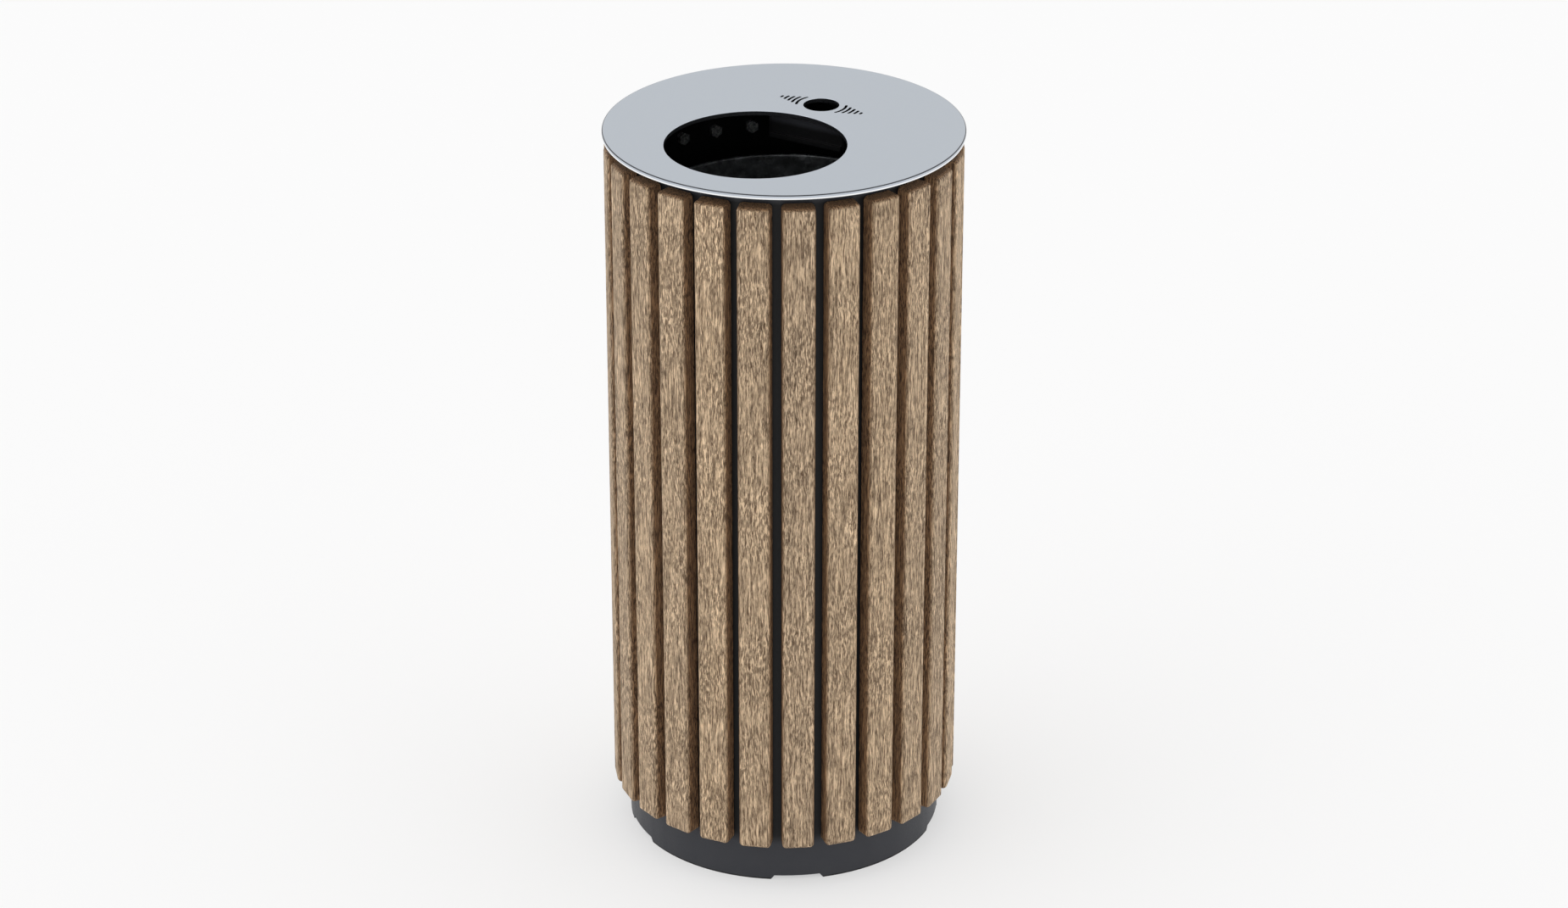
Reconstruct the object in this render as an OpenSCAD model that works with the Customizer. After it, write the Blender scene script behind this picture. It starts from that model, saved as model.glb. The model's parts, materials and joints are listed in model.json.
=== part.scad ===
// Round litter bin with timber slats on a steel shell, a hinged lid plate,
// an ash box under the lid and a lift-out liner.
// Origin: centre of the base on the ground. +Z up, -Y is the litter opening side.

/* [Shell] */
// Height from the ground to the top of the lid
total_h = 850; // [800:10:1000]
// Outside diameter of the rolled steel shell
shell_d = 360; // [356:2:380]
// Wall thickness of the shell
shell_wall = 2; // [1.5:0.5:3]
// Number of shallow notches in the bottom edge, which leave the feet between them
notch_count = 5; // [3:1:6]
// Width of a notch at the ground
notch_w = 60; // [40:1:70]
// Height of a notch
notch_h = 5; // [3:0.5:5]

/* [Slats] */
// Number of timber slats around the shell
slat_count = 25; // [21:2:27]
// Width of a slat
slat_w = 36; // [30:1:38]
// Thickness of a slat
slat_t = 18; // [16:1:20]
// Radius of the eased front edges and ends
slat_edge_r = 4; // [2:0.5:6]
// Height of the slats' bottom ends above the ground
slat_z = 50; // [40:5:80]
// Distance from the top of the lid down to the slats' top ends
slat_drop = 17; // [16:1:25]

/* [Slat fixings] */
// Height of the lower row of screws above the ground
lower_row_z = 98; // [80:2:140]
// Distance from the top of the lid down to the upper row of screws
upper_row_drop = 65; // [60:1:90]
// Thread diameter of a slat screw
screw_d = 8; // [6:1:8]
// Outside diameter of the threaded insert in the timber
insert_d = 12; // [12:0.5:14]
// Length of the threaded insert
insert_l = 13; // [11:0.5:14]

/* [Lid] */
// Thickness of the lid plate
lid_t = 5; // [4:0.5:6]
// How far the lid stands out past the faces of the slats
lid_overhang = 2; // [2:0.5:6]
// Radius of the eased top edge of the lid
lid_edge_r = 1; // [0.5:0.25:1.5]
// Diameter of the litter opening
litter_d = 200; // [170:5:205]
// Distance from the axis forward to the centre of the litter opening
litter_offset = 60; // [50:1:60]
// Diameter of the ash hole
ash_d = 40; // [30:1:44]
// Distance from the axis back to the centre of the ash hole
ash_offset = 80; // [76:1:90]
// Width of the arc slots beside the ash hole
slot_w = 3; // [2:0.25:3.5]
// Radius of the arc slot nearest the ash hole
slot_r = 28; // [26:0.5:30]
// Distance from one arc slot to the next
slot_pitch = 5.75; // [5:0.25:7]
// Angle that each arc slot spans, from the nearest to the farthest
slot_spans = [50, 30, 19, 11, 4];

/* [Lid hinge] */
// Width of the hinge
hinge_w = 80; // [60:2:90]
// Diameter of the hinge pin
hinge_pin_d = 4; // [3:0.5:4]
// Thickness of the hinge leaves
leaf_t = 3; // [2.5:0.25:3]

/* [Ash box] */
// Width of the ash box body
ash_box_w = 76; // [60:1:78]
// Length of the ash box body, front to back
ash_box_l = 76; // [66:1:76]
// Depth of the ash box
ash_box_h = 28; // [24:1:28]
// Sheet thickness of the ash box and its cradle
ash_sheet = 1.5; // [1:0.25:2]

/* [Liner] */
// Outside diameter of the liner
liner_d = 304; // [290:2:306]
// Distance from the top of the lid down to the liner's rim
liner_drop = 92; // [90:1:120]
// Sheet thickness of the liner
liner_wall_t = 1.2; // [0.8:0.1:2]
// Diameter of the liner's handle wire
handle_wire_d = 6; // [5:0.5:7]
// Length of the grip of a liner handle, between its legs
handle_w = 76; // [70:1:84]
// How far a liner handle hangs below its pivot
handle_drop = 38; // [34:1:44]

/* [Ground fixing] */
// Diameter of the circle of anchor holes
anchor_pcd = 250; // [200:5:260]
// Diameter of an anchor hole
anchor_hole_d = 13; // [11:0.5:14]
// Number of anchor holes
anchor_count = 4; // [3:1:6]

/* [Hidden] */
$fn = 96;
cut = 1;

shell_r = shell_d / 2;
shell_in = shell_r - shell_wall;
slat_step = 360 / slat_count;
slat_face_r = shell_r + slat_t;
lid_r = slat_face_r + lid_overhang;
lid_z = total_h - lid_t;
slat_top = total_h - slat_drop;
upper_row_z = total_h - upper_row_drop;

// Top ring and rubber buffers
ring_t = 3;
ring_top = lid_z - 7;
ring_w = 14;
ring_mid_r = shell_in - ring_w / 2;
buffer_d = 12;
buffer_stem_d = 5;
buffer_azimuths = [30, 150, 210, 330];

// Base plate and the lugs that centre the liner
plate_t = 4;
plate_z = notch_h + 1;
plate_top = plate_z + plate_t;
drain_d = 14;
drain_pcd = 160;
drain_count = 6;
lug_gap = 3;
lug_t = 3;
lug_w = 30;
lug_h = 35;

// Hexagon screws, washers and the clearance holes they pass through
hex_af = 13;
head_h = 5.3;
washer_d = 16;
washer_t = 1.6;
washer_seat_r = sqrt(pow(shell_in, 2) - pow(washer_d / 2, 2));
thread_gap = 0.1;
clear_gap = 1;

// Hinge, with its axis along X under the rear edge of the lid
hinge_y = lid_r - 5;
hinge_z = lid_z - 4;
knuckle_r = 3.5;
knuckle_gap = 0.5;
lid_knuckle_w = hinge_w / 3;
pin_run_gap = 0.05;
leaf_back_y = hinge_y - 5;
body_leaf_y = shell_in - 20;
lid_leaf_y = body_leaf_y - 8;
hinge_screw_d = 5;
hinge_screw_x = hinge_w * 0.35;
hinge_head_d = 10;
hinge_nut_af = 8;
hinge_nut_h = 4;

// Ash box: its flange runs on the ledges of a cradle under the lid
cradle_w = ash_box_w + 20;
cradle_y = ash_offset - 32;
cradle_l = 80;
ledge_z = lid_z - 28;
ledge_w = 7.5;
run_gap = 0.3;
flange_z = ledge_z + ash_sheet + run_gap;
flange_front_y = cradle_y - 4;
lip_h = 4;
ash_box_top = lid_z - 4;

// Turn latch under the lid, beside the litter opening
latch_azimuth = 60;
latch_r = 135;
stud_d = 8;
stud_drop = 23;
cam_drop = 15.5;
cam_t = 3;
cam_w = 18;
cam_reach = 28;
tail_reach = 22;
grip_d = 16;
grip_h = 18;
latch_nut_h = 5;
latch_washer_t = 1.3;

// Liner
liner_r = liner_d / 2;
liner_in = liner_r - liner_wall_t;
liner_top = total_h - liner_drop;
liner_bottom_z = plate_top + run_gap;
liner_floor_z = liner_bottom_z + 15;
bead_r = 2.4;
pivot_x = liner_in - 14.8;
pivot_z = liner_top - 28;
wire_r = handle_wire_d / 2;
elbow_r = 8;
ear_t = 3;
ear_gap = 0.05;
ear_y = handle_w / 2 + elbow_r + ear_t / 2 + 1;

SLATS = [for (k = [1 : slat_count]) str("slat_", k < 10 ? "0" : "", k)];

paint = [0.20, 0.21, 0.23];
stainless = [0.72, 0.74, 0.77];
zinc = [0.60, 0.62, 0.64];
timber = [0.65, 0.56, 0.46];
black = [0.08, 0.08, 0.09];

// ---------- shared shapes ----------

// Turns its children so that their +X points outwards at an azimuth from the front
module around(azimuth) {
    rotate([0, 0, azimuth - 90]) children();
}

module tube(r_out, r_in, z_low, z_high) {
    translate([0, 0, z_low])
    difference() {
        cylinder(r = r_out, h = z_high - z_low);
        translate([0, 0, -cut]) cylinder(r = r_in, h = z_high - z_low + 2 * cut);
    }
}

// A cylinder along X that starts at x, at height z
module radial_rod(d, x, length, z) {
    translate([x, 0, z])
    rotate([0, 90, 0])
    cylinder(d = d, h = length);
}

module box_between(low, high) {
    translate(low) cube(high - low);
}

module hex_prism(af, h) {
    cylinder(d = af / cos(30), h = h, $fn = 6);
}

function slat_azimuth(k) = (k - 0.5) * slat_step;

// ---------- shell ----------

module notch_cutter() {
    slope = notch_h * 0.8;
    half = notch_w / 2;
    translate([shell_in - 10, 0, 0])
    rotate([90, 0, 90])
    linear_extrude(30)
    polygon([
        [-half - slope, -notch_h], [half + slope, -notch_h],
        [half - slope, notch_h], [-half + slope, notch_h],
    ]);
}

module shell() {
    color(paint)
    difference() {
        tube(shell_r, shell_in, 0, ring_top);
        for (i = [0 : notch_count - 1])
            around(180 / notch_count + i * 360 / notch_count) notch_cutter();
        for (k = [1 : slat_count], z = [lower_row_z, upper_row_z])
            around(slat_azimuth(k)) radial_rod(screw_d + clear_gap, shell_in - 5, 12, z);
    }
}

// Flat ring welded inside the top edge: it stiffens the shell and carries the lid
module top_ring() {
    color(paint)
    difference() {
        tube(shell_in, shell_in - ring_w, ring_top - ring_t, ring_top);
        for (azimuth = buffer_azimuths)
            around(azimuth) translate([ring_mid_r, 0, ring_top - ring_t - cut])
            cylinder(d = buffer_stem_d, h = ring_t + 2 * cut);
        hinge_screw_places() translate([0, 0, ring_top - ring_t - cut])
            cylinder(d = hinge_screw_d + clear_gap / 2, h = ring_t + 2 * cut);
    }
}

module lid_buffers() {
    color(black)
    for (azimuth = buffer_azimuths)
        around(azimuth) translate([ring_mid_r, 0, 0]) {
            translate([0, 0, ring_top]) cylinder(d = buffer_d, h = lid_z - ring_top - run_gap);
            translate([0, 0, ring_top - ring_t - 3]) cylinder(d = buffer_stem_d, h = ring_t + 3);
        }
}

module base_plate() {
    color(paint)
    difference() {
        translate([0, 0, plate_z]) cylinder(r = shell_in, h = plate_t);
        for (i = [0 : anchor_count - 1])
            around(45 + i * 360 / anchor_count) translate([anchor_pcd / 2, 0, plate_z - cut])
            cylinder(d = anchor_hole_d, h = plate_t + 2 * cut);
        for (i = [0 : drain_count - 1])
            around(i * 360 / drain_count) translate([drain_pcd / 2, 0, plate_z - cut])
            cylinder(d = drain_d, h = plate_t + 2 * cut);
    }
}

// Bent angles welded to the base plate, which keep the liner central
module liner_lugs() {
    lug_in = liner_r + lug_gap;
    color(paint)
    for (azimuth = [0 : 90 : 270])
        around(azimuth) {
            box_between([lug_in, -lug_w / 2, plate_top], [lug_in + lug_t, lug_w / 2, plate_top + lug_h]);
            box_between([lug_in, -lug_w / 2, plate_top], [shell_in - 4, lug_w / 2, plate_top + lug_t]);
        }
}

// ---------- slats and their fixings ----------

// Rectangle with eased corners at its far side in X; x runs from 0 to t, y across w
module eased_outline(t, w, r) {
    translate([0, -w / 2]) square([t - r, w]);
    translate([0, r - w / 2]) square([t, w - 2 * r]);
    for (side = [-1, 1])
        translate([t - r, side * (w / 2 - r)]) circle(r);
}

// Straight slat with its flat back on the shell and eased edges all round its face
module slat_blank() {
    length = slat_top - slat_z;
    middle = slat_z + length / 2;
    intersection() {
        translate([shell_r, 0, slat_z])
            linear_extrude(length) eased_outline(slat_t, slat_w, slat_edge_r);
        translate([shell_r, slat_w / 2 + cut, middle])
            rotate([90, 0, 0])
            linear_extrude(slat_w + 2 * cut) eased_outline(slat_t, length, slat_edge_r);
        translate([shell_r - cut, 0, middle])
            rotate([0, 90, 0])
            linear_extrude(slat_t + 2 * cut) face_outline(length, slat_w, slat_edge_r);
    }
}

// Rectangle with four round corners
module face_outline(w, h, r) {
    square([w - 2 * r, h], center = true);
    square([w, h - 2 * r], center = true);
    for (x = [-1, 1], y = [-1, 1])
        translate([x * (w / 2 - r), y * (h / 2 - r)]) circle(r);
}

module slat(k) {
    color(timber)
    around(slat_azimuth(k))
    difference() {
        slat_blank();
        for (z = [lower_row_z, upper_row_z])
            radial_rod(insert_d, shell_r - cut, insert_l + cut, z);
    }
}

// Threaded metal bushes set into the backs of the slats, one row
module slat_inserts(z) {
    color(zinc)
    for (k = [1 : slat_count])
        around(slat_azimuth(k))
        difference() {
            radial_rod(insert_d, shell_r, insert_l, z);
            radial_rod(screw_d + 2 * thread_gap, shell_r - cut, insert_l + 2 * cut, z);
        }
}

module slat_washers(z) {
    color(zinc)
    for (k = [1 : slat_count])
        around(slat_azimuth(k))
        difference() {
            radial_rod(washer_d, washer_seat_r - washer_t, washer_t, z);
            radial_rod(screw_d + clear_gap / 2, washer_seat_r - washer_t - cut, washer_t + 2 * cut, z);
        }
}

// Hexagon screws put in from inside the shell, one row
module slat_screws(z) {
    head_r = washer_seat_r - washer_t;
    color(zinc)
    for (k = [1 : slat_count])
        around(slat_azimuth(k)) {
            translate([head_r - head_h, 0, z]) rotate([0, 90, 0]) hex_prism(hex_af, head_h);
            radial_rod(screw_d, head_r - cut, shell_r + insert_l - 2 - head_r + cut, z);
        }
}

// ---------- lid hinge ----------

module hinge_screw_places() {
    for (x = [-hinge_screw_x, 0, hinge_screw_x])
        translate([x, sqrt(pow(ring_mid_r, 2) - x * x), 0]) children();
}

// A cylinder along the hinge axis, between two places in X
module hinge_rod(r, x_low, x_high) {
    translate([x_low, hinge_y, hinge_z])
    rotate([0, 90, 0])
    cylinder(r = r, h = x_high - x_low);
}

// Leaf screwed to the top ring, with a knuckle at each end
module body_hinge_leaf() {
    inner = lid_knuckle_w / 2 + knuckle_gap;
    outer = hinge_w / 2;
    color(zinc)
    difference() {
        union() {
            box_between([-outer, body_leaf_y, ring_top], [outer, leaf_back_y, ring_top + leaf_t]);
            for (side = [-1, 1])
                box_between([side > 0 ? inner : -outer, leaf_back_y - cut, ring_top],
                    [side > 0 ? outer : -inner, hinge_y, ring_top + leaf_t]);
            hinge_rod(knuckle_r, -outer, -inner);
            hinge_rod(knuckle_r, inner, outer);
        }
        hinge_rod(hinge_pin_d / 2, -outer - cut, outer + cut);
        hinge_screw_places() {
            translate([0, 0, ring_top - cut]) cylinder(d = hinge_screw_d, h = leaf_t + 2 * cut);
            translate([0, 0, ring_top + leaf_t]) screw_cone();
        }
    }
}

// Countersunk head, with its flat top at z = 0
module screw_cone() {
    cone_h = (hinge_head_d - hinge_screw_d) / 2;
    translate([0, 0, -cone_h]) cylinder(d1 = hinge_screw_d, d2 = hinge_head_d, h = cone_h);
}

module hinge_pin() {
    head_t = 1.2;
    color(zinc) {
        hinge_rod(hinge_pin_d / 2, -hinge_w / 2, hinge_w / 2);
        hinge_rod(knuckle_r - 0.5, -hinge_w / 2 - head_t, -hinge_w / 2);
        hinge_rod(knuckle_r - 0.5, hinge_w / 2, hinge_w / 2 + head_t);
    }
}

module hinge_screws() {
    color(zinc)
    hinge_screw_places() {
        translate([0, 0, ring_top + leaf_t]) screw_cone();
        translate([0, 0, ring_top - ring_t - hinge_nut_h - cut])
            cylinder(d = hinge_screw_d, h = ring_t + leaf_t + hinge_nut_h);
    }
}

module hinge_nuts() {
    color(zinc)
    hinge_screw_places()
        translate([0, 0, ring_top - ring_t - hinge_nut_h])
        difference() {
            hex_prism(hinge_nut_af, hinge_nut_h);
            translate([0, 0, -cut]) cylinder(d = hinge_screw_d + 2 * thread_gap, h = hinge_nut_h + 2 * cut);
        }
}

// Leaf welded under the lid, with the middle knuckle
module lid_hinge_leaf() {
    outer = hinge_w / 2;
    inner = lid_knuckle_w / 2;
    color(stainless)
    difference() {
        union() {
            box_between([-outer, lid_leaf_y, lid_z - leaf_t], [outer, leaf_back_y, lid_z]);
            box_between([-inner, leaf_back_y - cut, lid_z - leaf_t], [inner, hinge_y, lid_z]);
            hinge_rod(knuckle_r, -inner, inner);
        }
        hinge_rod(hinge_pin_d / 2 + pin_run_gap, -inner - cut, inner + cut);
    }
}

// ---------- lid ----------

// Arc slot of constant width with round ends, about the ash hole
module arc_slot(r, span) {
    rotate([0, 0, -span / 2])
        rotate_extrude(angle = span)
        translate([r - slot_w / 2, 0]) square([slot_w, lid_t + 2 * cut]);
    for (side = [-1, 1])
        rotate([0, 0, side * span / 2]) translate([r, 0, 0])
        cylinder(d = slot_w, h = lid_t + 2 * cut);
}

// Half section of the disc, from its axis out to its eased top edge
module lid_section() {
    square([lid_r, lid_t - lid_edge_r]);
    square([lid_r - lid_edge_r, lid_t]);
    translate([lid_r - lid_edge_r, lid_t - lid_edge_r]) circle(lid_edge_r);
}

module lid_plate() {
    color(stainless)
    difference() {
        translate([0, 0, lid_z]) rotate_extrude() lid_section();
        translate([0, -litter_offset, lid_z - cut]) cylinder(d = litter_d, h = lid_t + 2 * cut);
        translate([0, ash_offset, lid_z - cut]) {
            cylinder(d = ash_d, h = lid_t + 2 * cut);
            for (i = [0 : len(slot_spans) - 1], side = [0, 180])
                rotate([0, 0, side]) arc_slot(slot_r + i * slot_pitch, slot_spans[i]);
        }
    }
}

// ---------- ash box ----------

// Folded runner welded under the lid: a stop behind and a ledge down each side
module ash_cradle() {
    half = cradle_w / 2;
    back = cradle_y + cradle_l;
    color(paint) {
        box_between([-half, back - ash_sheet, ledge_z], [half, back, lid_z]);
        for (side = [0, 1])
            mirror([side, 0, 0]) {
                box_between([half - ash_sheet, cradle_y, ledge_z], [half, back, lid_z]);
                box_between([half - ash_sheet - ledge_w, cradle_y, ledge_z],
                    [half, back, ledge_z + ash_sheet]);
            }
    }
}

// Open box with a wide front, run on a flange whose front edge is turned down as a finger lip
module ash_box() {
    half = ash_box_w / 2;
    bottom = ash_box_top - ash_box_h;
    back = cradle_y + ash_box_l;
    flange_half = cradle_w / 2 - ash_sheet - 0.6;
    flange_back = cradle_y + cradle_l - ash_sheet - 1;
    flange_top = flange_z + ash_sheet;
    color(paint)
    difference() {
        union() {
            box_between([-half, cradle_y, bottom], [half, back, ash_box_top]);
            box_between([-flange_half, cradle_y, flange_z],
                [flange_half, cradle_y + ash_sheet, ash_box_top]);
            box_between([-flange_half, flange_front_y, flange_z],
                [flange_half, flange_back, flange_top]);
            box_between([-flange_half, flange_front_y, flange_z - lip_h],
                [flange_half, flange_front_y + ash_sheet, flange_top]);
        }
        box_between([-half + ash_sheet, cradle_y + ash_sheet, bottom + ash_sheet],
            [half - ash_sheet, back - ash_sheet, ash_box_top + cut]);
    }
}

// ---------- turn latch ----------

// Places its children at the latch, with +X pointing outwards
module at_latch() {
    around(latch_azimuth) translate([latch_r, 0, 0]) children();
}

module latch_stud() {
    color(zinc)
    at_latch() translate([0, 0, lid_z - stud_drop]) cylinder(d = stud_d, h = stud_drop);
}

// Flat cam that turns on the stud: the long end goes under the top ring to hold the lid
module latch_cam() {
    hub_top = lid_z - run_gap;
    cam_z = lid_z - cam_drop;
    color(zinc)
    at_latch()
    difference() {
        union() {
            translate([0, 0, cam_z]) cylinder(d = cam_w, h = hub_top - cam_z);
            box_between([-cam_w / 2, -tail_reach, cam_z], [cam_w / 2, cam_reach, cam_z + cam_t]);
            translate([0, cam_reach, cam_z]) cylinder(d = cam_w, h = cam_t);
            translate([0, -tail_reach, cam_z]) cylinder(d = cam_w, h = cam_t);
        }
        translate([0, 0, cam_z - cut])
            cylinder(d = stud_d + 2 * pin_run_gap, h = cam_drop + 2 * cut);
    }
}

// Moulded grip pushed on to the short end of the cam
module latch_grip() {
    color(black)
    at_latch() translate([0, -tail_reach, lid_z - cam_drop - grip_h]) cylinder(d = grip_d, h = grip_h);
}

module latch_washer() {
    top = lid_z - cam_drop - run_gap;
    color(zinc)
    at_latch() tube(hex_af / 2, stud_d / 2, top - latch_washer_t, top);
}

module latch_nut() {
    top = lid_z - cam_drop - run_gap - latch_washer_t;
    color(zinc)
    at_latch()
    difference() {
        translate([0, 0, top - latch_nut_h]) hex_prism(hex_af, latch_nut_h);
        translate([0, 0, top - latch_nut_h - cut]) cylinder(d = stud_d, h = latch_nut_h + 2 * cut);
    }
}

// ---------- liner ----------

module liner_wall() {
    color(zinc)
    tube(liner_r, liner_in, liner_bottom_z, liner_top - bead_r);
}

module liner_floor() {
    color(zinc)
    translate([0, 0, liner_floor_z]) cylinder(r = liner_in, h = liner_wall_t);
}

// Rolled wire edge around the outside of the rim
module liner_rim_bead() {
    color(zinc)
    translate([0, 0, liner_top - bead_r])
    rotate_extrude()
    translate([liner_r + bead_r, 0])
    circle(bead_r);
}

// Four drilled ears welded inside the wall, two for each handle
module handle_ears() {
    ear_in = pivot_x - wire_r - 5;
    half_h = wire_r + 6;
    color(zinc)
    for (x_side = [0, 1], y_side = [-1, 1])
        mirror([x_side, 0, 0])
        difference() {
            intersection() {
                translate([0, y_side * ear_y, 0])
                    box_between([ear_in, -ear_t / 2, pivot_z - half_h], [liner_r, ear_t / 2, pivot_z + half_h]);
                translate([0, 0, pivot_z - half_h]) cylinder(r = liner_in, h = 2 * half_h);
            }
            translate([pivot_x, y_side * ear_y + ear_t, pivot_z])
                rotate([90, 0, 0])
                cylinder(r = wire_r + ear_gap, h = 2 * ear_t);
        }
}

// Quarter bend of the handle wire in the YZ plane, about its centre, starting at an angle
module wire_bend(y, z, start) {
    translate([0, y, z])
    rotate([90, 0, 90])
    rotate([0, 0, start])
    rotate_extrude(angle = 90)
    translate([elbow_r, 0])
    circle(wire_r);
}

// Straight run of the handle wire in the YZ plane
module wire_run(from, to) {
    step = to - from;
    translate([0, from[0], from[1]])
    rotate([-atan2(step[0], step[1]), 0, 0])
    cylinder(r = wire_r, h = norm(step));
}

// Drop handle: its turned-out ends pivot in the ears, and it hangs flat by the wall
module liner_handle() {
    leg = handle_w / 2;
    low = -handle_drop;
    end = ear_y + ear_t / 2 + 3;
    translate([pivot_x, 0, pivot_z])
    for (side = [0, 1])
        mirror([0, side, 0]) {
            wire_run([leg + elbow_r, 0], [end, 0]);
            wire_bend(leg + elbow_r, -elbow_r, 90);
            wire_run([leg, low + elbow_r], [leg, -elbow_r]);
            wire_bend(leg - elbow_r, low + elbow_r, 270);
            wire_run([0, low], [leg - elbow_r, low]);
        }
}

module liner_handle_right() {
    color(zinc) liner_handle();
}

module liner_handle_left() {
    color(zinc) mirror([1, 0, 0]) liner_handle();
}

// ---------- drawing ----------

shell();
top_ring();
lid_buffers();
base_plate();
liner_lugs();
for (k = [1 : slat_count])
    slat(k);
slat_inserts(upper_row_z);  // upper_slat_inserts
slat_inserts(lower_row_z);  // lower_slat_inserts
slat_washers(upper_row_z);  // upper_slat_washers
slat_washers(lower_row_z);  // lower_slat_washers
slat_screws(upper_row_z);  // upper_slat_screws
slat_screws(lower_row_z);  // lower_slat_screws
body_hinge_leaf();
hinge_pin();
hinge_screws();
hinge_nuts();
lid_plate();
lid_hinge_leaf();
ash_cradle();
latch_stud();
latch_washer();
latch_nut();
latch_cam();
latch_grip();
ash_box();
liner_wall();
liner_floor();
liner_rim_bead();
handle_ears();
liner_handle_left();
liner_handle_right();
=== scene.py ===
import math
import random

import bpy
from mathutils import Matrix, Vector
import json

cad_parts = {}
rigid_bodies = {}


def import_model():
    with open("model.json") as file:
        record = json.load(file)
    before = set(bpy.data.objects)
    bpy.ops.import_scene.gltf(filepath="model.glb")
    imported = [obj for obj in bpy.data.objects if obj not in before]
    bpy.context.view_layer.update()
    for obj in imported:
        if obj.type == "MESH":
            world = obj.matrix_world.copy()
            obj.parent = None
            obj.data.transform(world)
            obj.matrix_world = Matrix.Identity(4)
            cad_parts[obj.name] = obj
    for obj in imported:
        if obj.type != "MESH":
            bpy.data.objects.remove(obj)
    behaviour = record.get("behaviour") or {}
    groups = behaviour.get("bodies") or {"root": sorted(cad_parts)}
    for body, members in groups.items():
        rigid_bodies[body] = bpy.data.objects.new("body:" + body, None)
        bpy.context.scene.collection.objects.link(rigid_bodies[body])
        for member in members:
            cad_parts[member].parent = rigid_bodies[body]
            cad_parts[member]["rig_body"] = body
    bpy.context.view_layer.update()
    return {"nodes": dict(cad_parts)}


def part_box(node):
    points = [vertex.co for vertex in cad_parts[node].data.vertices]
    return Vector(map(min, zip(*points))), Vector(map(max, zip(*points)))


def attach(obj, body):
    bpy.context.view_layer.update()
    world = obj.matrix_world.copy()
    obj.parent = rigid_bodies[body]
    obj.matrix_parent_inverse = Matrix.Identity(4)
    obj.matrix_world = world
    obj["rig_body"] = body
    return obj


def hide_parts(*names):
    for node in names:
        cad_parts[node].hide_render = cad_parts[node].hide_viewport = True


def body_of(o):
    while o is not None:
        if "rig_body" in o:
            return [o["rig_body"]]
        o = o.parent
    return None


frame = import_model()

# ---------------------------------------------------------------------------------------------
# Studio. A plain pale floor under an even bright room, with one broad lamp high on the left.
# The camera stands in front and to the right of the bin and looks down on its lid.
# ---------------------------------------------------------------------------------------------


def add_node(tree, kind, **settings):
    """A new shader node with its settings made."""
    made = tree.nodes.new(kind)
    for name, value in settings.items():
        setattr(made, name, value)
    return made


def feed(tree, target, source):
    """Give an input a plain value, or a link from another node's output."""
    if isinstance(source, bpy.types.NodeSocket):
        tree.links.new(source, target)
    else:
        target.default_value = source


def new_material(name, colour, metallic, roughness):
    """A material with one Principled shader, and its node tree and shader."""
    made = bpy.data.materials.new(name)
    made.use_nodes = True
    shader = made.node_tree.nodes["Principled BSDF"]
    shader.inputs["Base Color"].default_value = (*colour, 1)
    shader.inputs["Metallic"].default_value = metallic
    shader.inputs["Roughness"].default_value = roughness
    return made, made.node_tree, shader


eye_reach, eye_height = 4.489, 2.592
eye_turn, eye_tilt = math.radians(31.2), math.radians(64.52)
camera_data = bpy.data.cameras.new("camera")
camera_data.sensor_width, camera_data.lens = 36, 100.5
camera = bpy.data.objects.new("camera", camera_data)
camera.location = (eye_reach * math.sin(eye_turn), -eye_reach * math.cos(eye_turn), eye_height)
camera.rotation_euler = (eye_tilt, 0, eye_turn)
bpy.context.scene.collection.objects.link(camera)
bpy.context.scene.camera = camera
bpy.context.scene.view_settings.view_transform = "Standard"

room = bpy.data.worlds.new("bright_room")
room.use_nodes = True
sky = room.node_tree
direction = add_node(sky, "ShaderNodeTexCoord").outputs["Generated"]
rise = add_node(sky, "ShaderNodeSeparateXYZ")
feed(sky, rise.inputs[0], direction)
levels = add_node(sky, "ShaderNodeValToRGB")
feed(sky, levels.inputs["Fac"], rise.outputs["Z"])
stops = ((0.0, 0.92), (0.16, 0.88), (0.36, 0.76), (0.56, 0.80), (0.80, 1.0), (1.0, 1.0))
while len(levels.color_ramp.elements) < len(stops):
    levels.color_ramp.elements.new(0.5)
for stop, (position, level) in zip(levels.color_ramp.elements, stops):
    stop.position, stop.color = position, (level, level, level, 1)
facing = add_node(sky, "ShaderNodeVectorMath", operation="DOT_PRODUCT")
feed(sky, facing.inputs[0], direction)
dark_rise, dark_level = math.radians(52), 0.3
dark_from, dark_to = math.radians(36), math.radians(20)
facing.inputs[1].default_value = (math.sin(eye_turn) * math.cos(dark_rise),
                                  -math.cos(eye_turn) * math.cos(dark_rise), math.sin(dark_rise))
doorway = add_node(sky, "ShaderNodeMapRange", interpolation_type="SMOOTHSTEP")
for index, source in enumerate((facing.outputs["Value"], math.cos(dark_from), math.cos(dark_to),
                                1.0, dark_level)):
    feed(sky, doorway.inputs[index], source)
dimmed = add_node(sky, "ShaderNodeMath", operation="MULTIPLY")
feed(sky, dimmed.inputs[0], levels.outputs["Color"])
feed(sky, dimmed.inputs[1], doorway.outputs["Result"])
room_level = 1.2
room_strength = add_node(sky, "ShaderNodeMath", operation="MULTIPLY")
feed(sky, room_strength.inputs[0], dimmed.outputs[0])
feed(sky, room_strength.inputs[1], room_level)
feed(sky, sky.nodes["Background"].inputs["Strength"], room_strength.outputs[0])
sky.nodes["Background"].inputs["Color"].default_value = (1, 1, 1, 1)
bpy.context.scene.world = room

lamp_data = bpy.data.lights.new("broad_lamp", "SUN")
lamp_data.energy, lamp_data.angle = 0.35, math.radians(60)
lamp = bpy.data.objects.new("broad_lamp", lamp_data)
lamp.rotation_euler = (math.radians(30), 0, math.radians(-20))
bpy.context.scene.collection.objects.link(lamp)

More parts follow.
